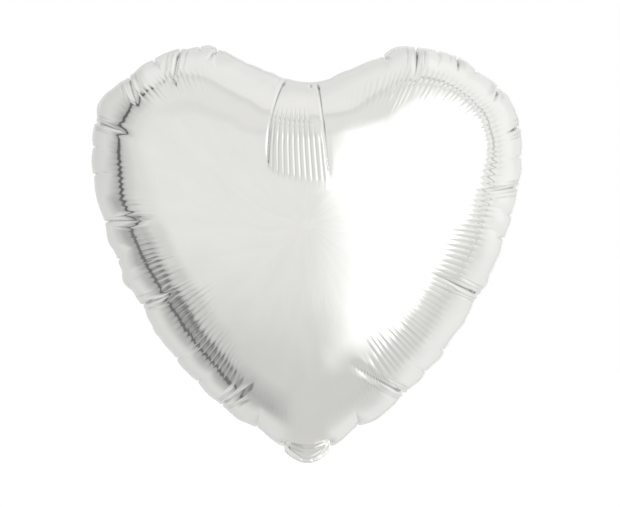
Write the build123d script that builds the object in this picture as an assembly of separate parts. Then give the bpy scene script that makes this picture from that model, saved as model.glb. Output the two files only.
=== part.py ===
from build123d import *
import math
import os

# Heart-shaped foil balloon, inflated, 18 inch (45 cm) size.  Units are millimetres.
# Origin: the middle of the neck, where a ribbon is tied, at the heart's tip.
# +Z points up to the lobes, -Y is the front, and the seam lies in the plane y = 0.

# --- driving dimensions ------------------------------------------------------

# right half of the inflated heart's outline, from the cleft between the lobes
# down to the tip, to the outer edge of the weld
HALF_OUTLINE = [(30, 311), (56, 324), (84, 331), (118, 327), (151, 307), (172, 277),
                (180, 240), (175, 207), (159, 157), (136, 112), (101, 62), (64, 28), (36, 7), (14, -2)]
CLEFT = (0, 302)
TIP = (0, -3)
CORE = (0, 195)             # deepest point of the blown panels, as seen from the front
DEPTH = 105.0               # from the seam plane to the deepest point of one panel
CORE_RADIUS = 155.0         # the round shape that the heart's level curves turn into
LEVEL_STEPS = 10            # sections of a panel between its rim and its deepest point
LAST_LEVEL_ANGLE = 86.0     # degrees; 90 is the deepest point itself
OUTLINE_SAMPLES = 48

WALL = 0.6                  # thickness of a blown panel
FILM = 0.3                  # thickness of a flat film
STACK = 4 * FILM            # two foils and two valve films, pressed flat
SEAM_WIDTH = 4.2            # width of the weld round the heart
SEAM_SHOWING = 3.4          # how much of it stands outside the blown panels

NECK_TOP_WIDTH = 42.0       # neck where it leaves the heart's tip
NECK_LOW_WIDTH = 34.0       # neck at the crease
NECK_SLOT_WIDTH = 24.0      # clear width between the neck's side welds
NECK_ROOT_Z = 8.0           # the neck films' upper ends, inside the heart
NECK_LOW_Z = -11.0          # the neck films' lower ends, at the crease
NECK_CORNER = 4.0

CREASE_Y, CREASE_Z = 1.0, -11.5     # axis of the crease where the tail folds
TAIL_START = 0.9            # from the crease's axis to the tail's films
TAIL_WIDTH, TAIL_LENGTH = 32.0, 60.0
TAIL_CORNER = 5.0
TAIL_LEAN = 64.0            # the folded tail's angle from straight up, degrees
TAIL_WELD_WIDTH = 4.5
HOLE_RADIUS = 2.5           # punched hole near the tail's end
HOLE_FROM_END = 7.0

VALVE_WIDTH = 22.0
VALVE_END_MARGIN = 14.0     # from the valve's mouth to the tail's end
LIP_LENGTH = 88.0           # the valve's lips inside the heart
LIP_GAP = 0.1               # between each lip and the seam plane
LIP_ROOT_GAP = 0.3          # between the valve's throat and its lips
LIP_END_WIDTH = 26.0


# --- helpers -----------------------------------------------------------------

def slab(face, y_low, y_high):
    """A flat piece: a face drawn in X and Z, given a thickness along Y."""
    placed = Plane.XZ.offset(-y_low) * face
    return extrude(placed, amount=y_high - y_low, dir=(0, 1, 0))


def flat_bar(width_low, width_high, z_low, z_high):
    """A face in X and Z, symmetric about the Z axis, straight sided."""
    corners = [(-width_low / 2, z_low), (width_low / 2, z_low),
               (width_high / 2, z_high), (-width_high / 2, z_high)]
    return make_face(Polyline(*corners, close=True))


def heart_outline():
    """The heart's outline, clockwise from the cleft, drawn in X and Z."""
    left = [(-x, z) for x, z in reversed(HALF_OUTLINE)]
    return Spline(*([CLEFT] + HALF_OUTLINE + [TIP] + left), periodic=True)


def inset_points(distance):
    """Points along the heart's outline, moved inwards square to it."""
    outline = heart_outline()
    points = []
    for i in range(OUTLINE_SAMPLES):
        point = outline.position_at(i / OUTLINE_SAMPLES)
        along = outline.tangent_at(i / OUTLINE_SAMPLES)
        points.append((point.X + distance * along.Y, point.Y - distance * along.X))
    return points


def closed_face(points):
    return make_face(Spline(*points, periodic=True))


# --- blown panels ------------------------------------------------------------

def level_curve(rim_points, angle, wall):
    """The blown panel's closed section at an angle up its elliptical profile, in X and Z."""
    reach = math.cos(angle)
    roundness = 1 - reach
    points = []
    for x, z in rim_points:
        dx, dz = x - CORE[0], z - CORE[1]
        radius = math.hypot(dx, dz)
        length = reach * (radius * (1 - roundness) + CORE_RADIUS * roundness) - wall
        points.append((CORE[0] + dx / radius * length, CORE[1] + dz / radius * length))
    return points


def dome(rim_points, side, wall):
    """A solid pillow half on one side of the seam, shrunk by a wall thickness."""
    sections = []
    for step in range(LEVEL_STEPS + 1):
        angle = math.radians(LAST_LEVEL_ANGLE * step / LEVEL_STEPS)
        y = side * (STACK / 2 + math.sin(angle) * (DEPTH - STACK / 2 - wall))
        points = [(x, y, z) for x, z in level_curve(rim_points, angle, wall)]
        sections.append(closed_face(points))
    return loft(sections)


def blown_panel(side):
    rim_points = inset_points(SEAM_SHOWING)
    return dome(rim_points, side, 0) - dome(rim_points, side, WALL)


# --- weld and neck -----------------------------------------------------------

def neck_outline():
    outline = flat_bar(NECK_LOW_WIDTH, NECK_TOP_WIDTH, NECK_LOW_Z, NECK_ROOT_Z)
    low_corners = outline.vertices().sort_by(Axis.Y)[:2]
    return fillet(low_corners, NECK_CORNER)


def perimeter_weld():
    slot = flat_bar(NECK_SLOT_WIDTH, NECK_SLOT_WIDTH, NECK_LOW_Z - 1, NECK_ROOT_Z)
    whole = slab(closed_face(inset_points(0)), -STACK / 2, STACK / 2)
    whole += slab(neck_outline(), -STACK / 2, STACK / 2)
    return whole - slab(closed_face(inset_points(SEAM_WIDTH)), -STACK, STACK) - slab(slot, -STACK, STACK)


def neck_film(side):
    face = flat_bar(NECK_SLOT_WIDTH, NECK_SLOT_WIDTH, NECK_LOW_Z, NECK_ROOT_Z)
    inner, outer = side * FILM, side * STACK / 2
    return slab(face, min(inner, outer), max(inner, outer))


def valve_throat(side):
    face = flat_bar(VALVE_WIDTH, VALVE_WIDTH, NECK_LOW_Z, NECK_ROOT_Z)
    return slab(face, min(0, side * FILM), max(0, side * FILM))


def valve_lip(side):
    root = NECK_ROOT_Z + LIP_ROOT_GAP
    face = flat_bar(VALVE_WIDTH, LIP_END_WIDTH, root, root + LIP_LENGTH)
    inner, outer = side * LIP_GAP, side * (LIP_GAP + FILM)
    return slab(face, min(inner, outer), max(inner, outer))


# --- tail --------------------------------------------------------------------

def tail_place(shape):
    """Fold a tail piece, drawn hanging from the crease's axis, up behind the heart."""
    fold = Rotation((180 - TAIL_LEAN, 0, 0))
    return Location((0, CREASE_Y, CREASE_Z)) * fold * shape


def tail_outline():
    end = -TAIL_START - TAIL_LENGTH
    outline = flat_bar(TAIL_WIDTH, TAIL_WIDTH, end, -TAIL_START)
    return fillet(outline.vertices().sort_by(Axis.Y)[:2], TAIL_CORNER)


def tail_film(side):
    hole_z = -TAIL_START - TAIL_LENGTH + HOLE_FROM_END
    face = tail_outline() - Location((0, hole_z)) * Circle(HOLE_RADIUS)
    inner, outer = side * FILM, side * STACK / 2
    return tail_place(slab(face, min(inner, outer), max(inner, outer)))


def tail_side_welds():
    end = -TAIL_START - TAIL_LENGTH
    clear_width = TAIL_WIDTH - 2 * TAIL_WELD_WIDTH
    middle = flat_bar(clear_width, clear_width, end - 1, 1)
    return tail_place(slab(tail_outline() - middle, -FILM, FILM))


def tail_valve_film(side):
    mouth = -TAIL_START - TAIL_LENGTH + VALVE_END_MARGIN
    face = flat_bar(VALVE_WIDTH, VALVE_WIDTH, mouth, -TAIL_START)
    return tail_place(slab(face, min(0, side * FILM), max(0, side * FILM)))


# --- assembly ----------------------------------------------------------------

FRONT, BACK = -1, 1

nodes = {
    "front_panel": blown_panel(FRONT),
    "back_panel": blown_panel(BACK),
    "perimeter_weld": perimeter_weld(),
    "neck_front_film": neck_film(FRONT),
    "neck_back_film": neck_film(BACK),
    "valve_throat_front": valve_throat(FRONT),
    "valve_throat_back": valve_throat(BACK),
    "valve_front_lip": valve_lip(FRONT),
    "valve_back_lip": valve_lip(BACK),
    "tail_front_film": tail_film(FRONT),
    "tail_back_film": tail_film(BACK),
    "tail_side_welds": tail_side_welds(),
    "tail_valve_front": tail_valve_film(FRONT),
    "tail_valve_back": tail_valve_film(BACK),
}

os.makedirs("parts", exist_ok=True)
for name, shape in nodes.items():
    export_step(shape, f"parts/{name}.step")
    box = shape.bounding_box()
    print(name, len(shape.solids()), round(shape.volume, 1), box.min, box.max)
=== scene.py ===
import math

import bmesh
import bpy
import numpy as np
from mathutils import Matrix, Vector, geometry, kdtree


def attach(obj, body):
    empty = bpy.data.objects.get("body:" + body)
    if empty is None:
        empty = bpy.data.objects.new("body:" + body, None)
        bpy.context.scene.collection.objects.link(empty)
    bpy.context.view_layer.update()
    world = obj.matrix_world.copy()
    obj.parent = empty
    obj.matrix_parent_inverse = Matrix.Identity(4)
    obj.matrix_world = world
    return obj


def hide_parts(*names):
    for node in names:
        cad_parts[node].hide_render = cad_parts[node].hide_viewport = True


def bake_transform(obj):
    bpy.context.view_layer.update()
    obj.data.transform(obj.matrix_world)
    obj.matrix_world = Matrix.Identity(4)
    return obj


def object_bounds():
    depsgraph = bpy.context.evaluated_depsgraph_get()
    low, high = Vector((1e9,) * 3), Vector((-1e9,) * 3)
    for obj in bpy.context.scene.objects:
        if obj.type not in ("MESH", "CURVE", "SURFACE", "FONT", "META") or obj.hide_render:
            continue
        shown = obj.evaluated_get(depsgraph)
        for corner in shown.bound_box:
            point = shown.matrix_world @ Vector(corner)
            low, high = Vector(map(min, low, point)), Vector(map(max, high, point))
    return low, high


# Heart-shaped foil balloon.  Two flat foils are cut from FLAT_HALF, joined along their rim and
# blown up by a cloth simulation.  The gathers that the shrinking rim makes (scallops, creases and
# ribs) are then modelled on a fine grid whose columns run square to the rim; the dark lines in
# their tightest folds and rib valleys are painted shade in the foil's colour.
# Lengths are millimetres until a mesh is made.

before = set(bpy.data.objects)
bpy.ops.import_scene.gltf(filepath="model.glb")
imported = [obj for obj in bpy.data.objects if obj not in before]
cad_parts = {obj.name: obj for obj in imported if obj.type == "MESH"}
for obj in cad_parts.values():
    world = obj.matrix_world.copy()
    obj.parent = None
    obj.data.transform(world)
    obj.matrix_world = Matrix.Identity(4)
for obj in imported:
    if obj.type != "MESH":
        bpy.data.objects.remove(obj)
cad_low, cad_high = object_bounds()

# --- the cut and the gathers --------------------------------------------------

# right half of the flat cut, from the cleft round the lobe to the tip, in X and Z
FLAT_HALF = [(0, 366), (45, 371), (100, 376), (155, 360), (200, 315), (221, 255),
             (212, 175), (177, 97), (125, 27), (65, -16), (0, -32)]
FLAT_CORE = np.array([0.0, 190.0])
SIM_SPACING = 6.0
SIM_FRAMES = 30
HEART_MIDDLE_Z = 195        # the middle that angles round the heart are measured about
TIP_REGION_Z = 100          # the rim below this height is the tip's, not the cleft's

COLUMNS = 1760              # round the rim, on the fine grid
COARSE = 500                # round the rim, where the simulated shape is read
GRID_REACH = 0.86           # share of the way from rim to core that all the columns cover
# the grid's rows inwards to there, as shares of that way, closest at the rim
ROWS = np.r_[0, 0.9, 1.9, 3.2, 5, 7.2, np.arange(9.8, 147, 3.0), 150] / 150
INNER = np.linspace(0.14, 0.02, 8)      # rings inside that, as shares of the rim's size

# creases that start at a notch in the seam: x, z, how far in they run, depth, direction in degrees
# (0 is square to the rim, positive turns clockwise), how dark the painted shade along their fold is; from the
# front
CREASES = [
    (-17, 304, 12, 1.2, 2, 0.9), (3, 301, 10, 1.0, 0, 0.8), (8, 302, 12, 1.2, 3, 0.9),
    (62, 325, 9, 0.8, 0, 0.5), (90, 330, 34, 2.0, -2, 1.0), (108, 328, 8, 0.6, 0, 0.3),
    (124, 322, 18, 1.9, -8, 1.0), (140, 312, 8, 0.6, 0, 0.3), (156, 296, 20, 1.8, -16, 1.0),
    (174, 265, 19, 1.7, -22, 1.0), (179, 240, 8, 0.8, -10, 0.4), (176, 215, 38, 1.5, -22, 0.7),
    (171, 192, 8, 0.6, -10, 0.4), (165, 172, 12, 0.8, -16, 0.4), (143, 125, 54, 1.9, -14, 0.9),
    (116, 79, 6, 0.5, -8, 0.2), (100, 62, 6, 0.4, -8, 0.2), (81, 45, 58, 2.0, -9, 0.8),
    (45, 14, 6, 0.4, 0, 0.2),
    (-45, 14, 6, 0.4, 0, 0.2), (-69, 38, 42, 1.6, 7, 0.5),
    (-93, 53, 7, 0.5, 8, 0.2), (-109, 73, 7, 0.5, 10, 0.2), (-135, 119, 40, 1.6, 20, 0.7),
    (-158, 156, 8, 0.6, 12, 0.2), (-165, 187, 50, 1.4, 15, 0.6), (-177, 226, 8, 0.8, 10, 0.3),
    (-179, 249, 9, 0.8, 8, 0.3), (-172, 268, 42, 1.9, 8, 0.8), (-146, 306, 36, 1.5, 9, 1.0),
    (-126, 319, 10, 1.0, 4, 0.4), (-104, 326, 42, 1.8, 3, 0.9), (-88, 329, 8, 0.5, 0, 0.3),
    (-74, 327, 16, 1.1, 2, 0.5),
]

# how strong the fine ribs are round the heart: degrees about its middle from +X, share of RIB_DEPTH
RIB_GAIN = [(0, 1.2), (12, 0.8), (28, 1.0), (38, 1.4), (50, 1.3), (60, 1.4), (66, 0.5), (72, 0.0),
            (122, 0.0), (128, 1.2), (134, 1.9), (142, 1.4), (150, 0.6), (180, 0.45), (200, 1.1),
            (212, 1.8), (236, 2.0), (244, 0.1), (290, 0.1), (298, 1.0), (304, 1.6), (325, 1.5),
            (340, 1.2), (350, 1.3), (360, 1.2)]
# how far in they run, from the seam
RIB_REACH = [(0, 62), (40, 56), (60, 60), (125, 48), (150, 40), (168, 44), (195, 52), (215, 64), (240, 50),
             (290, 50), (302, 66), (330, 66), (360, 62)]
RIB_DEPTH = 0.28
RIB_VALLEY_SHADE = 0.28              # how dark the painted shade in the valleys between ribs is
RIB_PITCH = 6.6             # along the flat rim

TUFT_TOP, TUFT_LOW = 275.0, 214.0       # the ribbed tongue under the cleft
TUFT_RIBS = 11

DEEP_CREASE = 1.4           # a crease deeper than this has companions beside it
COMPANION_DEPTH = 0.2       # as a share of the crease's own depth
# how dark the painted shade along a companion crease's fold line is
COMPANION_SHADE = 0.3

SEAM_WIDTH = 1.5
NECK_HALF_WIDTH = 19.0
NECK_DROP = 5.8             # how far the panels reach down over the neck
TIP_DROP = 3.2              # how much the weld of the neck keeps the tip from drawing in

# --- neck and tail ------------------------------------------------------------

NECK_ROOT_Z = 8.0
CREASE_Y, CREASE_Z = 1.0, -11.5
TAIL_LEAN = math.radians(64)
TAIL_END = 60.9             # from the crease's axis
TAIL_CORNER = 5.0
HOLE_FROM_END, HOLE_RADIUS = 7.0, 2.5
FOLD_HALF_WIDTH = 16.2      # at the crease
VALVE_HALF_WIDTH = 11.0
VALVE_END_MARGIN = 14.0
WELD_WIDTH = 4.5
FILM_SPACING = 0.9
FOIL_OFF, VALVE_OFF = 0.42, 0.14        # from the middle of the neck and tail to each film
FILM_THICKNESS = 0.12


# --- helpers ------------------------------------------------------------------

def smoothstep(low, high, value):
    t = np.clip((value - low) / (high - low), 0, 1)
    return t * t * (3 - 2 * t)


def evenly(curve, count):
    """A closed curve's points again, at equal steps along it, and its length."""
    closed = np.vstack([curve, curve[:1]])
    along = np.r_[0, np.cumsum(np.linalg.norm(np.diff(closed, axis=0), axis=1))]
    steps = np.arange(count) * along[-1] / count
    return np.stack([np.interp(steps, along, axis) for axis in closed.T], axis=1), along[-1]


def soften(values, steps):
    """Blur values that run round the rim (first axis) by a number of steps."""
    frequency = np.fft.rfftfreq(len(values)).reshape([-1] + [1] * (values.ndim - 1))
    spectrum = np.fft.rfft(values, axis=0) * np.exp(-2 * (math.pi * frequency * steps) ** 2)
    return np.fft.irfft(spectrum, n=len(values), axis=0)


def drift(count, steps, seed):
    """Smooth random values round the rim, about -1 to 1."""
    values = soften(np.random.default_rng(seed).normal(size=count), steps)
    return values / (np.abs(values).max() + 1e-9)


def column_places(count, length, crowds):
    """Distances along the rim of the grid's columns, closer together where it is gathered sharply."""
    fine = np.arange(8000) / 8000 * length
    density = np.ones(8000)
    for at, extra, reach in crowds:
        apart = np.abs(fine - at)
        density += extra * np.exp(-(np.minimum(apart, length - apart) / reach) ** 2)
    total = np.r_[0, np.cumsum(density)]
    return np.interp(np.arange(count) / count, total / total[-1], np.r_[fine, length])


def at_places(curve, places, length):
    """Points of an evenly spaced closed curve at distances along it."""
    closed = np.vstack([curve, curve[:1]])
    known = np.linspace(0, length, len(closed))
    return np.stack([np.interp(places % length, known, axis) for axis in closed.T], axis=1)


def flat_rim():
    half = FLAT_HALF
    points = np.array(half + [(-x, z) for x, z in half[-2:0:-1]], float)
    before, after, second = (np.roll(points, s, axis=0) for s in (1, -1, -2))
    t = np.linspace(0, 1, 60, endpoint=False)[:, None, None]
    curve = 0.5 * (2 * points + (after - before) * t + (2 * before - 5 * points + 4 * after - second) * t ** 2
                   + (3 * points - before - 3 * after + second) * t ** 3)
    curve, length = evenly(curve.transpose(1, 0, 2).reshape(-1, 2), 2048)
    return soften(curve, 9), length


def within(points, outline):
    """Which points lie inside a closed outline."""
    x, y = points.T
    inside = np.zeros(len(points), bool)
    for (ax, ay), (bx, by) in zip(outline, np.roll(outline, -1, axis=0)):
        inside ^= ((ay > y) != (by > y)) & (x < ax + (y - ay) * (bx - ax) / (by - ay + 1e-12))
    return inside


def triangulate(outline, spacing, clear):
    """Points and triangles that fill an outline, its own points first, on a hexagonal lattice."""
    low, high = outline.min(0), outline.max(0)
    lattice = [(x, y) for i, y in enumerate(np.arange(low[1], high[1], spacing * 0.866))
               for x in np.arange(low[0] + spacing / 2 * (i % 2), high[0], spacing)]
    lattice = np.array(lattice)
    lattice = lattice[within(lattice, outline)]
    gap = np.min(np.linalg.norm(lattice[:, None] - outline[None], axis=2), axis=1)
    lattice = lattice[gap > clear]
    count = len(outline)
    edges = [(i, (i + 1) % count) for i in range(count)]
    made = geometry.delaunay_2d_cdt([Vector(p) for p in np.vstack([outline, lattice])], edges,
                                    [list(range(count))], 1, 1e-6)
    return np.array([tuple(p) for p in made[0]]), [tuple(f) for f in made[2]]


def new_mesh(name, points_mm, faces, uv=None, normals=None):
    """A smooth-shaded object from points in millimetres; uv are metres, one for each point."""
    mesh = bpy.data.meshes.new(name)
    mesh.from_pydata((np.asarray(points_mm) / 1000).tolist(), [], faces)
    mesh.update()
    if uv is not None:
        layer = mesh.uv_layers.new(name="UVMap")
        loops = np.zeros(len(mesh.loops), int)
        mesh.loops.foreach_get("vertex_index", loops)
        layer.data.foreach_set("uv", np.asarray(uv)[loops].astype(np.float32).ravel())
    mesh.polygons.foreach_set("use_smooth", [True] * len(mesh.polygons))
    if normals is not None:
        mesh.normals_split_custom_set_from_vertices(normals.tolist())
    piece = bpy.data.objects.new(name, mesh)
    bpy.context.scene.collection.objects.link(piece)
    return piece


# --- blowing up the heart -----------------------------------------------------

def inflate(rim, length):
    """Blow up two flat hearts joined along their rim.  Returns the front one's flat and blown points."""
    outline, _ = evenly(rim, round(length / SIM_SPACING))
    flat, faces = triangulate(outline, SIM_SPACING, SIM_SPACING * 0.7)
    on_rim = np.arange(len(flat)) < len(outline)
    gap = np.min(np.linalg.norm(flat[:, None] - outline[None], axis=2), axis=1)
    start = 2.0 * np.minimum(gap / 20, 1)
    twin = np.arange(len(flat))
    twin[~on_rim] = len(flat) + np.arange((~on_rim).sum())
    front = np.c_[flat[:, 0], -start, flat[:, 1]]
    back = np.c_[flat[:, 0], start, flat[:, 1]][~on_rim]
    points = np.vstack([front, back])
    points += np.random.default_rng(3).normal(0, 0.15, points.shape)
    both = faces + [tuple(twin[list(f)][::-1]) for f in faces]

    scale = 100.0           # the solver is steadier on a larger model: 1 m is 10 units
    mesh = bpy.data.meshes.new("blank")
    mesh.from_pydata((points / scale).tolist(), [], both)
    edit = bmesh.new()
    edit.from_mesh(mesh)
    bmesh.ops.recalc_face_normals(edit, faces=edit.faces)
    edit.to_mesh(mesh)
    edit.free()
    blank = bpy.data.objects.new("blank", mesh)
    bpy.context.scene.collection.objects.link(blank)
    cloth = blank.modifiers.new("cloth", "CLOTH")
    film = cloth.settings
    film.quality, film.mass, film.air_damping = 5, 0.05, 2.0
    film.tension_stiffness, film.compression_stiffness, film.shear_stiffness = 50, 0, 0
    film.bending_stiffness = 2.0
    film.use_pressure, film.uniform_pressure_force = True, 5
    film.effector_weights.gravity = 0
    cloth.collision_settings.use_collision = False
    cloth.point_cache.frame_start, cloth.point_cache.frame_end = 1, SIM_FRAMES + 1
    for step in range(1, SIM_FRAMES + 1):
        bpy.context.scene.frame_set(step)
    done = blank.evaluated_get(bpy.context.evaluated_depsgraph_get()).data
    blown = np.zeros(len(done.vertices) * 3)
    done.vertices.foreach_get("co", blown)
    blown = blown.reshape(-1, 3) * scale
    bpy.data.objects.remove(blank)
    bpy.context.scene.frame_set(1)

    mirrored = blown[twin] * (1, -1, 1)
    blown = (blown[:len(flat)] + mirrored) / 2
    blown -= (blown[:, 0].max() / 2 + blown[:, 0].min() / 2, 0, blown[:, 2].min())
    return flat, blown


def read_shape(flat, blown, wanted):
    """The blown shape at any flat points, by a smooth local fit through the simulated ones."""
    reach = SIM_SPACING * 2.6
    tree = kdtree.KDTree(len(flat))
    for i, p in enumerate(flat):
        tree.insert((p[0], p[1], 0), i)
    tree.balance()
    near = np.array([[i for _, i, _ in tree.find_n((x, z, 0), 34)] for x, z in wanted])
    step = (flat[near] - wanted[:, None]) / reach
    weight = np.maximum(1 - (step ** 2).sum(2), 0) ** 2 + 1e-9
    x, z = step[..., 0], step[..., 1]
    basis = np.stack([np.ones_like(x), x, z, x * x, x * z, z * z], axis=2)
    weighted = basis * weight[..., None]
    left = np.einsum("nki,nkj->nij", weighted, basis) + np.eye(6) * 1e-7
    right = np.einsum("nki,nkj->nij", weighted, blown[near])
    return np.linalg.solve(left, right)[:, 0]


def refine(coarse, places, length):
    """Evenly spaced columns read at other places round the rim, by a smooth curve."""
    step = places / length * len(coarse)
    i = np.floor(step).astype(int)
    t = (step - i).reshape([-1] + [1] * (coarse.ndim - 1))
    before, here, after, second = (coarse[(i + k) % len(coarse)] for k in (-1, 0, 1, 2))
    return 0.5 * (2 * here + (after - before) * t + (2 * before - 5 * here + 4 * after - second) * t ** 2
                  + (3 * here - before - 3 * after + second) * t ** 3)


rim, rim_length = flat_rim()
flat, blown = inflate(rim, rim_length)

places = np.arange(COARSE) / COARSE * rim_length
start = at_places(rim, places, rim_length)
along = soften(np.roll(start, -1, axis=0) - np.roll(start, 1, axis=0), 4)
inward = np.stack([along[:, 1], -along[:, 0]], axis=1) / np.linalg.norm(along, axis=1)[:, None]
# the columns fan out below the cleft, as its gathers do
from_cleft = np.where(places > rim_length / 2, places - rim_length, places)
fanned = places + 110 * np.tanh(from_cleft / 14) * np.exp(-(from_cleft / 300) ** 2)
inner_start = soften(at_places(rim, fanned, rim_length), 1)
goal = FLAT_CORE + (inner_start - FLAT_CORE) * (1 - GRID_REACH)
bend = start + inward * np.linalg.norm(goal - start, axis=1)[:, None] * 0.42
t = ROWS[None, :, None]
outer = (1 - t) ** 2 * start[:, None] + 2 * t * (1 - t) * bend[:, None] + t ** 2 * goal[:, None]
inner = FLAT_CORE + (inner_start - FLAT_CORE)[:, None] * INNER[None, 1:, None]
flat_grid = np.concatenate([outer, inner], axis=1)
row_steps = np.linalg.norm(np.diff(flat_grid, axis=1), axis=2)
depth_in = np.concatenate([np.zeros((COARSE, 1)), np.cumsum(row_steps, axis=1)], axis=1)

shape = read_shape(flat, blown, flat_grid.reshape(-1, 2)).reshape(COARSE, -1, 3)
shape[:, 0, 1] = 0
middle = read_shape(flat, blown, FLAT_CORE[None])[0]
row_count = len(ROWS)
shape[:, row_count:] = soften(shape[:, row_count:], 2)
crowds = [(0, 3.2, 24)]
for x, z, reach, depth, _, _ in CREASES:
    if depth > DEEP_CREASE and reach > 14:
        crowds.append((places[np.argmin(np.hypot(shape[:, 0, 0] - x, shape[:, 0, 2] - z))], 1.2, 7))
rim_at = column_places(COLUMNS, rim_length, crowds)
base = refine(shape, rim_at, rim_length)
depth_in = refine(depth_in, rim_at, rim_length)

# the tip opens into the flat neck instead of closing round
neck_share = (1 - smoothstep(12, 30, np.abs(base[..., 0]))) * (base[..., 2] < TIP_REGION_Z)
base[..., 1] *= 1 - neck_share * (1 - smoothstep(0, 26, depth_in))
neck_front = (1 - smoothstep(14.5, 19, np.abs(base[..., 0]))) * (base[..., 2] < TIP_REGION_Z)
near_tip = (1 - smoothstep(20, 44, np.abs(base[..., 0]))) * (base[..., 2] < TIP_REGION_Z)
base[..., 1] = np.minimum(base[..., 1], -neck_front * (0.5 + 0.25 * np.minimum(depth_in, 16)))
base[..., 2] -= TIP_DROP * near_tip * (1 - smoothstep(0, 30, depth_in))
base[..., 2] -= NECK_DROP * neck_front * (1 - smoothstep(0, 18, depth_in)) * (1 - (base[..., 0] / 19) ** 2)


def outward(points):
    """The surface's outward directions on the grid of the front panel."""
    across = np.roll(points, -1, axis=0) - np.roll(points, 1, axis=0)
    gap = np.diff(depth_in, axis=1)[..., None]
    slope = np.diff(points, axis=1) / gap
    middle_slope = (slope[:, :-1] * gap[:, 1:] + slope[:, 1:] * gap[:, :-1]) / (gap[:, 1:] + gap[:, :-1])
    down = np.concatenate([slope[:, :1], middle_slope, slope[:, -1:]], axis=1)
    found = np.cross(down, across)
    return found / (np.linalg.norm(found, axis=2)[..., None] + 1e-12)


# outward directions, level with the seam at the rim
normal = outward(base)
across = np.roll(base, -1, axis=0) - np.roll(base, 1, axis=0)
rim_along = across[:, 0] / np.linalg.norm(across[:, 0], axis=1)[:, None]
rim_out = np.stack([-rim_along[:, 2], np.zeros(COLUMNS), rim_along[:, 0]], axis=1)
level = (1 - smoothstep(0, 10, depth_in))[..., None] * (1 - neck_share[..., None])
normal = normal * (1 - level) + rim_out[:, None] * level
normal /= np.linalg.norm(normal, axis=2)[..., None]

reach_in = np.linalg.norm((base - base[:, :1])[..., [0, 2]], axis=2)    # from the rim, seen from the front

# --- gathers ------------------------------------------------------------------

def scallops(notches):
    """The rim's bulges between its notches, fading inwards."""
    places = np.sort(notches)
    wrapped = np.r_[places[-1] - rim_length, places, places[0] + rim_length]
    i = np.searchsorted(wrapped, rim_at, side="right") - 1
    gap = wrapped[i + 1] - wrapped[i]
    share = (rim_at - wrapped[i]) / gap
    height = np.minimum(3.2, 0.07 * gap) * ((4 * share * (1 - share)) ** 0.6 - 0.6)
    return height[:, None] * (1 - smoothstep(0, 24, reach_in))


def crease(x, z, reach, depth, turn, companion=0.0):
    """A sharp valley that starts at a notch and fades and widens inwards, and the painted shade along its
    fold.
    """
    column = np.argmin(np.hypot(base[:, 0, 0] - x, base[:, 0, 2] - z))
    home = base[column, 0, [0, 2]] + rim_along[column, [0, 2]] * companion
    way = -rim_out[column, [0, 2]]
    angle = -math.radians(turn)
    way = np.array([way[0] * math.cos(angle) - way[1] * math.sin(angle),
                    way[0] * math.sin(angle) + way[1] * math.cos(angle)])
    from_home = base[..., [0, 2]] - home
    run = from_home @ way
    bow = 0.04 * turn * np.sin(np.clip(run / reach, 0, 1) * math.pi)
    aside = from_home @ np.array([-way[1], way[0]]) + bow
    width = 0.8 + 0.034 * np.maximum(run, 0)
    fade = np.where(run < 0, 1, 1 - smoothstep(0.3 * reach, reach, run))
    if companion:
        fade = fade * smoothstep(3, 12, run)
    fade = fade * (1 - smoothstep(12, 24, np.abs(aside)))
    sharp = np.sqrt((aside / width) ** 2 + 0.01)
    valley = np.exp(-sharp) - 0.3 * np.exp(-((np.abs(aside) - 2.8 * width) / (1.4 * width)) ** 2)
    # the painted shade along the fold line, wider near the notch
    shade_width = 0.42 + 0.5 * (1 - smoothstep(6, 11, run))
    line = np.exp(-(aside / shade_width) ** 2) * (1 - smoothstep(0.4 * reach, reach, np.maximum(run, 0)))
    return -1.5 * depth * fade * valley, line, rim_at[column]


def ribs(seed, gain, reach):
    """Fine parallel ribs on the flank, each with its own depth, start and end, and the painted shade in their
    valleys.
    """
    random = np.random.default_rng(seed)
    steps = random.uniform(0.8, 1.2, round(rim_length / RIB_PITCH))
    edges = np.r_[0, np.cumsum(steps)] * rim_length / steps.sum()
    count = len(steps)
    lean = 0.2 * drift(COLUMNS, 55, seed + 1)
    at = np.mod(rim_at[:, None] + lean[:, None] * reach_in, rim_length)
    number = np.clip(np.searchsorted(edges, at, side="right") - 1, 0, count - 1)
    share = (at - edges[number]) / (edges[number + 1] - edges[number])
    rib = np.clip(np.sin(math.pi * share), 0, 1) ** 0.85
    height = random.uniform(0.6, 1.15, count)[number]
    begin, end = random.uniform(16, 20, count)[number], reach * random.uniform(0.8, 1.08, count)[number]
    body = smoothstep(begin, begin + 9, reach_in) * (1 - smoothstep(end - 22, end, reach_in))
    # painted shade in the valleys between ribs, kept fainter on the right half
    valley = (1 - rib) ** 1.5 * body * np.minimum(gain, np.where(base[:, :1, 0] < 0, 1.6, 0.6))
    return RIB_DEPTH * gain * height * rib * body, valley


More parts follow.
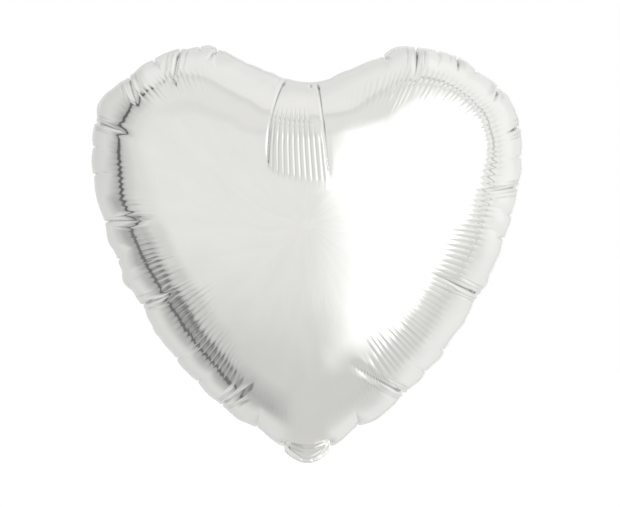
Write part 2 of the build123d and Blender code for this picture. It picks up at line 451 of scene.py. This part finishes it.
def tuft():
    """The tongue of tight ribs that the cleft gathers, between its two long creases, with painted shade in
    its valleys and along its edges.
    """
    x, z = base[..., 0], base[..., 2]
    left = -17 - 13 * np.sin(np.clip((304 - z) / 66, 0, 1) * math.pi / 2)
    right = 8.5 + 0.1 * (302 - z)
    share = (x - left) / (right - left)
    inside = smoothstep(-0.02, 0.06, share) * (1 - smoothstep(0.94, 1.02, share))
    bottom = TUFT_LOW + 9 * np.clip(1 - share, 0, 1) ** 3
    top = TUFT_TOP - 26 * smoothstep(0.6, 0.95, share)
    run = smoothstep(top + 1, top - 6, z) * smoothstep(bottom - 1, bottom + 5, z)
    rib = np.abs(np.sin(math.pi * TUFT_RIBS * np.clip(share, 0, 1)))
    swell = smoothstep(TUFT_TOP + 4, bottom + 8, z) * smoothstep(bottom - 4, bottom + 3, z)
    height = inside * ((0.52 - 0.3 * share) * run * rib + 0.7 * swell)
    # painted shade in the valleys between the tongue's ribs, and more of it over the tongue's lower part
    dark = inside * run * (0.22 * (1 - rib) ** 1.3 + 0.1 * smoothstep(266, 246, z))
    for edge in (left, right):
        aside = np.abs(x - edge)
        fade = smoothstep(bottom, bottom + 20, z)
        height -= 1.3 * fade * np.exp(-aside / 1.1)
        # painted shade along the tongue's two edge creases, darker towards the top
        dark = np.maximum(dark, np.exp(-(aside / 0.5) ** 2) * fade * (0.35 + 0.5 * smoothstep(262, 290, z)))
    return height, dark, inside * smoothstep(TUFT_LOW - 10, TUFT_LOW, z)


def gathers(seed, mirrored):
    """How far the foil stands out from its smooth shape, with scallops between the rim's notches, and the
    painted shade of its folds.
    """
    angle = np.degrees(np.arctan2(base[:, 0, 2] - HEART_MIDDLE_Z, base[:, 0, 0])) % 360
    gain, rib_reach = (soften(np.interp(angle, *np.array(stops).T), 12)[:, None]
                       for stops in (RIB_GAIN, RIB_REACH))
    random = np.random.default_rng(seed)
    height, dark = np.zeros(base.shape[:2]), np.zeros(base.shape[:2])
    notches = []
    for x, z, reach, depth, turn, line_shade in CREASES:
        if mirrored:
            reach, turn = reach * random.uniform(0.7, 1.5), turn * 0.6 + random.uniform(-6, 6)
        valley, line, at = crease(x, z, reach, depth, turn)
        height += valley
        # painted shade along the crease's fold line
        dark = np.maximum(dark, line * line_shade)
        notches.append(at)
        if depth > DEEP_CREASE:
            for aside in (-random.uniform(5, 8), -random.uniform(2.2, 4.5), random.uniform(2.2, 4.5),
                          random.uniform(5, 8)):
                valley, line, _ = crease(x, z, reach * random.uniform(0.5, 1), depth * COMPANION_DEPTH,
                                         turn + random.uniform(-2, 2), aside)
                height += valley
                # painted shade along the companions' fold lines
                dark = np.maximum(dark, COMPANION_SHADE * line)
    tongue, tongue_shade, calm = tuft()
    rib, valley = ribs(seed, gain, rib_reach)
    dark = np.maximum(np.maximum(dark, tongue_shade), RIB_VALLEY_SHADE * valley * (1 - calm))
    height += rib * (1 - calm) + tongue + scallops(np.array(notches))
    waver = 0.25 * drift(COLUMNS, 40, seed + 5)[:, None]
    height += waver * smoothstep(10, 60, reach_in) * (1 - smoothstep(60, 120, reach_in))
    keep_neck = 1 - (1 - smoothstep(17, 24, np.abs(base[..., 0]))) * (1 - smoothstep(6, 40, depth_in))
    return height * keep_neck, dark * keep_neck


front_height, front_shade = gathers(31, False)
back_height, back_shade = gathers(57, True)
back_height += (front_height[:, :1] - back_height[:, :1]) * (1 - smoothstep(0, 14, depth_in))


def panel(name, height, dark, side):
    """A foil panel: rings of columns from the rim in, thinned out twice, with a cap at the core."""
    points = base + normal * height[..., None]
    shading = outward(points)
    if side > 0:
        points, shading = points * (1, -1, 1), shading * (1, -1, 1)
    uv = np.stack(np.broadcast_arrays(rim_at[:, None], depth_in), axis=2)
    shading[:, row_count + 5:] = soften(shading[:, row_count + 5:], 8)
    verts, coords, facing_out, fold_shade, rings = [], [], [], [], []
    for row in range(points.shape[1]):
        thin = 1 if row < row_count else 2 if row < row_count + 3 else 4
        rings.append((sum(len(v) for v in verts), COLUMNS // thin))
        verts.append(points[::thin, row])
        coords.append(uv[::thin, row])
        facing_out.append(shading[::thin, row])
        fold_shade.append(dark[::thin, row])
    facing_out.append(facing_out[-1].mean(0)[None])
    verts.append(np.array([[middle[0], side * abs(middle[1]), middle[2]]]))
    coords.append(np.array([[0.0, 0.0]]))
    fold_shade.append(np.zeros(1))
    faces = []
    for (a, n), (b, m) in zip(rings, rings[1:]):
        i, j = np.arange(m), (np.arange(m) + 1) % m
        if n == m:
            faces += np.stack([a + i, a + j, b + j, b + i], axis=1).tolist()
        else:
            first, mid, last = a + 2 * i, a + 2 * i + 1, a + (2 * i + 2) % n
            for trio in ((first, mid, b + i), (mid, last, b + j), (mid, b + j, b + i)):
                faces += np.stack(trio, axis=1).tolist()
    a, n = rings[-1]
    tip = sum(len(v) for v in verts) - 1
    faces += [(a + i, a + (i + 1) % n, tip) for i in range(n)]
    if side < 0:
        faces = [f[::-1] for f in faces]
    made = new_mesh(name, np.vstack(verts), faces, np.vstack(coords) / 1000, np.vstack(facing_out))
    # the painted shade of the folds, as a point attribute that the foil's colour reads
    painted = made.data.attributes.new("fold", "FLOAT", "POINT")
    painted.data.foreach_set("value", np.concatenate(fold_shade).astype(np.float32))
    return made


def seam_strip(name):
    """The flat welded edge outside the panels, which stops at the neck."""
    edge = base[:, 0] + normal[:, 0] * front_height[:, :1]
    edge[:, 1] = 0
    tangent = soften(np.roll(edge, -1, axis=0) - np.roll(edge, 1, axis=0), 2)
    tangent /= np.linalg.norm(tangent, axis=1)[:, None]
    out = np.stack([-tangent[:, 2], np.zeros(COLUMNS), tangent[:, 0]], axis=1)
    at_neck = (1 - smoothstep(16, 19, np.abs(edge[:, 0]))) * (edge[:, 2] < TIP_REGION_Z)
    reach = (1 - at_neck) * (1 + 0.08 * drift(COLUMNS, 12, 73))
    wave = 0.05 * drift(COLUMNS, 7, 71)
    section = [(-0.8, -0.12), (0.7, -0.1), (SEAM_WIDTH - 0.3, -0.08), (SEAM_WIDTH, -0.03),
               (SEAM_WIDTH, 0.03), (SEAM_WIDTH - 0.3, 0.08), (0.7, 0.1), (-0.8, 0.12)]
    rows = []
    for distance, y in section:
        point = edge + out * (max(distance, 0) * reach + min(distance, 0))[:, None]
        point[:, 1] += y + wave * max(distance, 0)
        rows.append(point)
    points = np.concatenate(rows)
    count = len(section)
    i = np.arange(COLUMNS)
    j = (i + 1) % COLUMNS
    faces = []
    for k in range(count):
        a, b = k * COLUMNS, (k + 1) % count * COLUMNS
        faces += np.stack([a + i, b + i, b + j, a + j], axis=1).tolist()
    uv = np.concatenate([np.stack([rim_at, np.full(COLUMNS, d)], axis=1) for d, _ in section]) / 1000
    return new_mesh(name, points, faces, uv)


foil_front = panel("foil_front", front_height, front_shade, -1)
foil_back = panel("foil_back", back_height, back_shade, 1)
seam = seam_strip("seam_weld")


# --- neck, tail and valve -----------------------------------------------------

def centre_line():
    """The middle of the neck and tail, as distance along, Y and Z, from the neck's root."""
    lean = np.array([math.sin(TAIL_LEAN), math.cos(TAIL_LEAN)])
    axis = np.array([CREASE_Y, CREASE_Z])
    turn_end = axis + 2.4 * lean
    corner = [np.array([0.0, -9.6]), np.array([0.0, -11.8]), turn_end - 1.9 * lean, turn_end]
    t = np.linspace(0, 1, 60)[:, None]
    turn = ((1 - t) ** 3 * corner[0] + 3 * t * (1 - t) ** 2 * corner[1]
            + 3 * t ** 2 * (1 - t) * corner[2] + t ** 3 * corner[3])
    neck = np.stack([np.zeros(60), np.linspace(NECK_ROOT_Z, -9.7, 60)], axis=1)
    reach = np.linspace(2.5, TAIL_END, 140)
    curl = 1.6 * np.sin(math.pi * (reach - 2.4) / 58) ** 2 - 0.8 * smoothstep(30, 60, reach)
    tail = axis + reach[:, None] * lean + curl[:, None] * np.array([-lean[1], lean[0]])
    line = np.vstack([neck, turn, tail])
    run = np.r_[0, np.cumsum(np.linalg.norm(np.diff(line, axis=0), axis=1))]
    return run, line


line_run, line = centre_line()
line_way = np.gradient(line, line_run, axis=0)
line_way /= np.linalg.norm(line_way, axis=1)[:, None]
fold_at = line_run[60 + 30]
tail_end = line_run[-1]


def half_width(run):
    """Half the width of the neck and tail, at a distance along from the neck's root."""
    neck = NECK_HALF_WIDTH - (NECK_HALF_WIDTH - FOLD_HALF_WIDTH) * smoothstep(4, fold_at, run)
    tail = FOLD_HALF_WIDTH - 0.2 * smoothstep(fold_at, fold_at + 8, run)
    return np.where(run < fold_at, neck, tail)


def place_film(x, run, off):
    """A point of the neck or tail: across, along, and off the middle towards the front."""
    early = 0.026 * x ** 2 * (1 - smoothstep(fold_at + 4, fold_at + 34, run))      # the crease is an arc
    ahead = run + early
    y, z = (np.interp(ahead, line_run, line[:, k]) for k in (0, 1))
    wy, wz = (np.interp(ahead, line_run, line_way[:, k]) for k in (0, 1))
    from_fold = ahead - fold_at
    crinkle = 0.1 * np.sin(0.9 * x + 1.7 * np.sin(0.21 * run) + 0.6) * np.exp(-np.abs(from_fold) / 5)
    crinkle += 0.35 * np.sin(0.19 * x + 0.11 * run) * smoothstep(6, 30, from_fold)
    crinkle += 0.5 * (x / 16) ** 2 * smoothstep(10, 50, from_fold)
    crinkle *= smoothstep(0, 14, run)
    off = off + crinkle
    return np.stack([x, y + off * wz, z - off * wy + early], axis=-1)


def film(name, start, end, off, width, hole, round_end=0.0, welded=True):
    """One film of the neck, tail or valve, as a sheet that follows the fold."""
    runs = np.arange(start, end - round_end, FILM_SPACING)
    side = [(float(width(r)), float(r)) for r in runs]
    wide = float(width(end))
    for a in np.linspace(0, math.pi / 2, 7 if round_end else 1):
        side.append((wide - round_end + round_end * math.cos(a), end - round_end + round_end * math.sin(a)))
    top_half, low_half = float(width(start)), side[-1][0]
    top = [(x, start) for x in np.arange(-top_half + FILM_SPACING, top_half - 0.1, FILM_SPACING)]
    low = [(x, end) for x in np.arange(low_half - FILM_SPACING, -low_half + 0.1, -FILM_SPACING)]
    outline = np.array(side + low + [(-x, r) for x, r in reversed(side)] + top)
    points, faces = triangulate(outline, FILM_SPACING, FILM_SPACING * 0.5)
    if hole:
        centre = np.array([0, tail_end - HOLE_FROM_END])
        apart = np.linalg.norm(points - centre, axis=1)
        ring = np.abs(apart - HOLE_RADIUS) < FILM_SPACING * 0.62
        points[ring] = centre + (points[ring] - centre) / apart[ring, None] * HOLE_RADIUS
        inside = np.linalg.norm(points - centre, axis=1) < HOLE_RADIUS - 0.05
        faces = [f for f in faces if not inside[list(f)].any()
                 and np.linalg.norm(points[list(f)].mean(0) - centre) > HOLE_RADIUS - 0.15]
    x, run = points.T
    lift = off
    if welded:
        inner = width(run) - WELD_WIDTH
        lift = off * (1 - 0.45 * smoothstep(inner - 4, inner + 1, np.abs(x)))
        mouth = smoothstep(tail_end - 9, tail_end, run) * (1 - smoothstep(inner - 5, inner, np.abs(x)))
        lift = lift + np.sign(off) * 0.5 * mouth
    placed = place_film(x, run, lift)
    used = sorted({i for f in faces for i in f})
    number = {v: i for i, v in enumerate(used)}
    faces = [tuple(number[i] for i in f) for f in faces]
    if off < 0:
        faces = [f[::-1] for f in faces]
    sheet = new_mesh(name, placed[used], faces, points[used] / 1000)
    solid = sheet.modifiers.new("thickness", "SOLIDIFY")
    solid.thickness, solid.offset = FILM_THICKNESS / 1000, 0
    return sheet


def weld_bars(name):
    """The two welded edges of the neck and tail, with their fine pressed ridges."""
    points, faces, coords = [], [], []
    runs = np.arange(8.5, tail_end - 2.2, 0.25)
    for side in (-1, 1):
        wide = half_width(runs) + 0.15
        ridge = 0.05 * np.abs(np.sin(math.pi * runs / 1.1))
        pull = 3.0 * smoothstep(tail_end - 6, tail_end - 2, runs) ** 2
        section = [(0.0, 0.06), (0.8, 0.2), (WELD_WIDTH - 0.8, 0.2), (WELD_WIDTH, 0.08),
                   (WELD_WIDTH, -0.08), (WELD_WIDTH - 0.8, -0.2), (0.8, -0.2), (0.0, -0.06)]
        first = sum(len(p) for p in points)
        for inset, off in section:
            thick = off + np.sign(off) * (ridge if abs(off) > 0.1 else 0)
            x = side * (wide - pull * (1 - inset / WELD_WIDTH) - inset)
            points.append(place_film(x, runs, thick))
            coords.append(np.stack([np.full(len(runs), inset), runs], axis=1))
        n, count = len(runs), len(section)
        i = np.arange(n - 1)
        for k in range(count):
            a, b = first + k * n, first + (k + 1) % count * n
            quads = np.stack([a + i, b + i, b + i + 1, a + i + 1], axis=1).tolist()
            faces += quads if side > 0 else [q[::-1] for q in quads]
        for end, flip in ((0, side > 0), (n - 1, side < 0)):
            cap = [first + k * n + end for k in range(count)]
            faces.append(cap[::-1] if flip else cap)
    return new_mesh(name, np.vstack(points), faces, np.vstack(coords) / 1000)


def plain(half):
    return lambda run: np.full_like(np.asarray(run, float), half)


valve_end, valve_width = tail_end - VALVE_END_MARGIN, plain(VALVE_HALF_WIDTH)
tail_front = film("neck_tail_film_front", 0, tail_end, FOIL_OFF, half_width, True, TAIL_CORNER)
tail_back = film("neck_tail_film_back", 0, tail_end, -FOIL_OFF, half_width, True, TAIL_CORNER)
valve_front = film("valve_film_front", 0, valve_end, VALVE_OFF, valve_width, False, 0, False)
valve_back = film("valve_film_back", 0, valve_end, -VALVE_OFF, valve_width, False, 0, False)
bars = weld_bars("neck_tail_welds")


# --- materials ----------------------------------------------------------------

def material(name, colour, metallic, rough, spread, bump_scale, bump_depth,
             alpha=1.0, weld=False, fold_shade=False):
    """A film: its tint and gloss vary a little, and it has fine unevenness of its own."""
    made = bpy.data.materials.new(name)
    made.use_nodes = True
    tree = made.node_tree
    shader = tree.nodes["Principled BSDF"]
    shader.inputs["Metallic"].default_value = metallic
    shader.inputs["Alpha"].default_value = alpha
    place = tree.nodes.new("ShaderNodeUVMap")
    place.uv_map = "UVMap"

    def noise(scale, detail):
        node = tree.nodes.new("ShaderNodeTexNoise")
        node.inputs["Scale"].default_value = scale
        node.inputs["Detail"].default_value = detail
        tree.links.new(place.outputs["UV"], node.inputs["Vector"])
        return node.outputs["Fac"]

    def ramp(source, low, high, first, last):
        node = tree.nodes.new("ShaderNodeValToRGB")
        node.color_ramp.elements[0].position, node.color_ramp.elements[0].color = low, first
        node.color_ramp.elements[1].position, node.color_ramp.elements[1].color = high, last
        tree.links.new(source, node.inputs["Fac"])
        return node.outputs["Color"]

    dim = tuple(c * 0.965 for c in colour)
    tint = ramp(noise(26, 5), 0.3, 0.7, (*dim, 1), (*colour, 1))
    if fold_shade:
        # painted shade: tight folds look dark because they mirror themselves; finer than the mesh, the
        # darkness of the creases, rib valleys and tongue is painted into the colour
        mask = tree.nodes.new("ShaderNodeAttribute")
        mask.attribute_name = "fold"
        mix = tree.nodes.new("ShaderNodeMix")
        mix.data_type = "RGBA"
        tree.links.new(mask.outputs["Fac"], mix.inputs[0])
        tree.links.new(tint, mix.inputs[6])
        mix.inputs[7].default_value = (0.16, 0.16, 0.16, 1)
        tint = mix.outputs[2]
    tree.links.new(tint, shader.inputs["Base Color"])
    low, high = rough - spread, rough + spread
    gloss = ramp(noise(95, 6), 0.35, 0.65, (low,) * 3 + (1,), (high,) * 3 + (1,))
    tree.links.new(gloss, shader.inputs["Roughness"])
    height = noise(bump_scale, 4)
    if weld:
        wave = tree.nodes.new("ShaderNodeTexWave")
        wave.wave_type, wave.bands_direction = "BANDS", "DIAGONAL"
        wave.inputs["Scale"].default_value = 420
        wave.inputs["Distortion"].default_value = 0.6
        tree.links.new(place.outputs["UV"], wave.inputs["Vector"])
        total = tree.nodes.new("ShaderNodeMath")
        total.operation = "ADD"
        tree.links.new(height, total.inputs[0])
        tree.links.new(wave.outputs["Fac"], total.inputs[1])
        height = total.outputs["Value"]
    bump = tree.nodes.new("ShaderNodeBump")
    bump.inputs["Strength"].default_value = 1.0
    bump.inputs["Distance"].default_value = bump_depth
    tree.links.new(height, bump.inputs["Height"])
    tree.links.new(bump.outputs["Normal"], shader.inputs["Normal"])
    return made


foil = material("mirror_foil", (0.938, 0.933, 0.904), 1.0, 0.045, 0.02, 55, 0.00003, fold_shade=True)
neck_foil = material("neck_foil", (0.925, 0.92, 0.893), 1.0, 0.09, 0.03, 160, 0.00006)
weld_foil = material("welded_foil", (0.86, 0.858, 0.838), 1.0, 0.2, 0.06, 240, 0.00005, weld=True)
valve_plastic = material("valve_film", (0.82, 0.84, 0.85), 0.0, 0.22, 0.06, 120, 0.00004, alpha=0.5)

for piece, finish in ((foil_front, foil), (foil_back, foil), (seam, weld_foil), (tail_front, neck_foil),
                      (tail_back, neck_foil), (bars, weld_foil), (valve_front, valve_plastic),
                      (valve_back, valve_plastic)):
    piece.data.materials.clear()
    piece.data.materials.append(finish)
for node in ("valve_front_lip", "valve_back_lip"):
    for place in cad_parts[node].material_slots:
        place.material = valve_plastic

# --- on the frame -------------------------------------------------------------

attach(foil_front, "envelope")
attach(foil_back, "envelope")
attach(seam, "envelope")
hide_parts("front_panel")
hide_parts("back_panel")
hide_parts("perimeter_weld")
for piece, nodes in ((tail_front, ("neck_front_film", "tail_front_film")),
                     (tail_back, ("neck_back_film", "tail_back_film")),
                     (bars, ("tail_side_welds",)),
                     (valve_front, ("valve_throat_front", "tail_valve_front")),
                     (valve_back, ("valve_throat_back", "tail_valve_back"))):
    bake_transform(piece)
    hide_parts(*nodes)

# --- stage --------------------------------------------------------------------

FLOOR_Z = -0.33             # in metres, as are all lengths from here on
DIFFUSE_LEVEL = 1.25        # how bright the studio is for matt surfaces
WINDOW_LEVEL = 0.5          # what the window adds to the wall it is in
FRAME_WIDTH = 0.5108        # what the picture covers in the seam's plane

bpy.ops.mesh.primitive_circle_add(vertices=128, radius=5.0, fill_type="NGON", location=(0, 0, FLOOR_Z))
floor = bpy.context.object
floor.name = "floor"
paper = bpy.data.materials.new("pale_floor")
paper.use_nodes = True
paper_shader = paper.node_tree.nodes["Principled BSDF"]
paper_shader.inputs["Base Color"].default_value = (0.87, 0.87, 0.865, 1)
paper_shader.inputs["Roughness"].default_value = 0.85
paper_shader.inputs["Specular IOR Level"].default_value = 0.0
floor.data.materials.append(paper)
floor.visible_glossy = False

world = bpy.data.worlds.new("studio")
bpy.context.scene.world = world
world.use_nodes = True
sky = world.node_tree
sky.nodes.clear()
facing = sky.nodes.new("ShaderNodeTexCoord").outputs["Generated"]
parts = sky.nodes.new("ShaderNodeSeparateXYZ")
sky.links.new(facing, parts.inputs[0])


def sky_math(operation, a, b=None, c=None):
    node = sky.nodes.new("ShaderNodeMath")
    node.operation = operation
    for i, value in enumerate((a, b, c)):
        if isinstance(value, (int, float)):
            node.inputs[i].default_value = value
        elif value is not None:
            sky.links.new(value, node.inputs[i])
    return node.outputs[0]


def sky_curve(source, stops, low=-1.0, high=1.0):
    """A grey level along one direction, from (place, level) stops."""
    share = sky.nodes.new("ShaderNodeMapRange")
    share.inputs["From Min"].default_value, share.inputs["From Max"].default_value = low, high
    sky.links.new(source, share.inputs["Value"])
    node = sky.nodes.new("ShaderNodeValToRGB")
    elements = node.color_ramp.elements
    for i, (place, grey) in enumerate(stops):
        at = (place - low) / (high - low)
        element = elements[i] if i < 2 else elements.new(at)
        element.position = at
        element.color = (grey, grey, grey, 1)
    sky.links.new(share.outputs["Result"], node.inputs["Fac"])
    return node.outputs["Color"]


def sky_step(source, low, high):
    node = sky.nodes.new("ShaderNodeMapRange")
    node.interpolation_type = "SMOOTHSTEP"
    node.inputs["From Min"].default_value, node.inputs["From Max"].default_value = low, high
    sky.links.new(source, node.inputs["Value"])
    return node.outputs["Result"]


def sky_mix(share, a, b):
    """a where share is 0, b where it is 1."""
    node = sky.nodes.new("ShaderNodeMix")
    for value, slot_in in ((share, 0), (a, 2), (b, 3)):
        if isinstance(value, (int, float)):
            node.inputs[slot_in].default_value = value
        else:
            sky.links.new(value, node.inputs[slot_in])
    return node.outputs[0]


side_x, depth_y, up_z = parts.outputs
# which wall: by the angle round the balloon's axis, from straight up, positive to the left
turn = sky_math("ARCTAN2", sky_math("MULTIPLY", side_x, -1.0), up_z)


def by_turn(low, high):
    return sky_step(turn, math.radians(low), math.radians(high))


# walls, each from the front (-1) to the back: pale screens with dark gaps between them, whose main
# gap lies at 0 and comes nearer the front towards the top.  The levels are fitted to what the real
# foil mirrors: they began as a measuring script's figures and were then changed over many renders.
lower = sky_step(sky_math("ABSOLUTE", turn), math.radians(78), math.radians(106))
gap = sky_math("MULTIPLY_ADD", lower, 0.25, 0.0)
behind = sky_math("SUBTRACT", depth_y, gap)
left_wall = sky_curve(behind, [
    (-0.4, 0.79), (-0.27, 0.75), (-0.2, 0.68), (-0.12, 0.63), (-0.055, 0.5), (-0.03, 0.14), (0.02, 0.14),
    (0.04, 0.42), (0.09, 0.5), (0.18, 0.6), (0.28, 0.69), (0.4, 0.73), (0.8, 0.68)])
side_wall = sky_curve(behind, [
    (-0.45, 0.7), (-0.38, 0.6), (-0.3, 0.54), (-0.2, 0.57), (-0.06, 0.5), (-0.03, 0.2), (0.03, 0.2),
    (0.06, 0.42), (0.15, 0.46), (0.25, 0.57), (0.35, 0.64), (0.5, 0.72), (0.8, 0.66)])
low_wall = sky_curve(behind, [
    (-0.45, 0.64), (-0.38, 0.56), (-0.33, 0.3), (-0.28, 0.24), (-0.18, 0.36), (-0.07, 0.36), (-0.04, 0.18),
    (0.02, 0.18), (0.05, 0.42), (0.18, 0.56), (0.28, 0.69), (0.4, 0.75), (0.8, 0.66)])
left_tip = sky_curve(behind, [
    (-0.6, 0.66), (-0.5, 0.6), (-0.35, 0.52), (-0.18, 0.47), (-0.05, 0.52), (0.06, 0.66), (0.2, 0.75),
    (0.5, 0.75), (0.8, 0.68)])
right_tip = sky_curve(behind, [
    (-0.4, 0.66), (-0.2, 0.65), (0.0, 0.69), (0.1, 0.72), (0.22, 0.78), (0.35, 0.84), (0.7, 0.83)])
low_right = sky_curve(behind, [
    (-0.62, 0.94), (-0.53, 0.86), (-0.44, 0.82), (-0.3, 0.78), (-0.2, 0.74), (-0.04, 0.72), (0.06, 0.76),
    (0.16, 0.83), (0.3, 0.87), (0.45, 0.88), (0.75, 0.83)])
right_wall = sky_curve(behind, [
    (-0.3, 0.98), (-0.2, 0.96), (-0.18, 0.82), (-0.15, 0.82), (-0.13, 0.95), (-0.085, 0.93), (-0.07, 0.66),
    (-0.035, 0.66), (-0.015, 0.93), (0.06, 0.93), (0.12, 0.9), (0.19, 0.95), (0.28, 0.97), (0.42, 0.97),
    (0.56, 0.9), (0.8, 0.86)])
top_wall = sky_curve(behind, [
    (-0.52, 0.8), (-0.45, 0.72), (-0.4, 0.76), (-0.33, 0.81), (-0.1, 0.81), (-0.02, 0.76), (0.03, 0.75),
    (0.09, 0.86), (0.25, 0.88), (0.45, 0.87), (0.75, 0.78)])
wall = sky_mix(by_turn(32, 42), top_wall, left_wall)
wall = sky_mix(by_turn(93, 100), wall, side_wall)
wall = sky_mix(by_turn(110, 113), wall, low_wall)
wall = sky_mix(by_turn(143, 149), wall, left_tip)
wall = sky_mix(by_turn(-8, -16), wall, right_wall)
wall = sky_mix(by_turn(-96, -112), wall, low_right)
wall = sky_mix(by_turn(-139, -145), wall, right_tip)
wall = sky_mix(sky_step(sky_math("ABSOLUTE", turn), math.radians(155), math.radians(172)), wall, 0.66)
wall = sky_mix(sky_step(depth_y, 0.88, 0.995), wall, 0.72)
# the front is brighter above than below, and a large window lights it from the right
front = sky_curve(up_z, [
    (-1, 0.64), (-0.74, 0.685), (-0.62, 0.73), (-0.45, 0.775), (-0.3, 0.8), (-0.15, 0.825), (0, 0.84),
    (0.3, 0.84), (1, 0.83)])
wall = sky_mix(sky_step(depth_y, -0.33, -0.52), wall, front)
window_edge = sky_curve(up_z, [
    (-0.65, 0.16), (-0.4, 0.25), (-0.15, 0.1), (0.5, 0.12), (0.8, 0.2), (0.93, 0.28), (0.98, 0.5)])
left_edge = sky_math("MULTIPLY_ADD", sky_math("MINIMUM", up_z, 0.0), -0.25, side_x)
corner = sky_math("MULTIPLY_ADD", up_z, 0.6, side_x)
window = sky_math("MULTIPLY", sky_step(left_edge, 0.03, 0.42),
                  sky_step(sky_math("ADD", depth_y, window_edge), 0.0, -0.2))
window = sky_math("MULTIPLY", window, sky_step(up_z, -0.86, -0.7))
window = sky_math("MULTIPLY", window, sky_step(corner, -0.36, -0.08))
wall = sky_math("MULTIPLY_ADD", window, WINDOW_LEVEL, wall)
rays = sky.nodes.new("ShaderNodeLightPath")
studio = sky_mix(rays.outputs["Is Diffuse Ray"], wall, DIFFUSE_LEVEL)
studio = sky_mix(rays.outputs["Is Camera Ray"], studio, 1.0)
light = sky.nodes.new("ShaderNodeBackground")
sky.links.new(studio, light.inputs["Color"])
sky_out = sky.nodes.new("ShaderNodeOutputWorld")
sky.links.new(light.outputs[0], sky_out.inputs[0])
bpy.context.scene.view_settings.view_transform = "Standard"

lens = bpy.data.cameras.new("camera")
lens.lens, lens.sensor_width = 85, 36
camera = bpy.data.objects.new("camera", lens)
bpy.context.scene.collection.objects.link(camera)
bpy.context.scene.camera = camera
middle_of_box = (cad_low + cad_high) / 2
camera.location = middle_of_box + Vector((0.0022, -FRAME_WIDTH * lens.lens / lens.sensor_width, 0.0011))
camera.rotation_euler = (math.pi / 2, 0, 0)
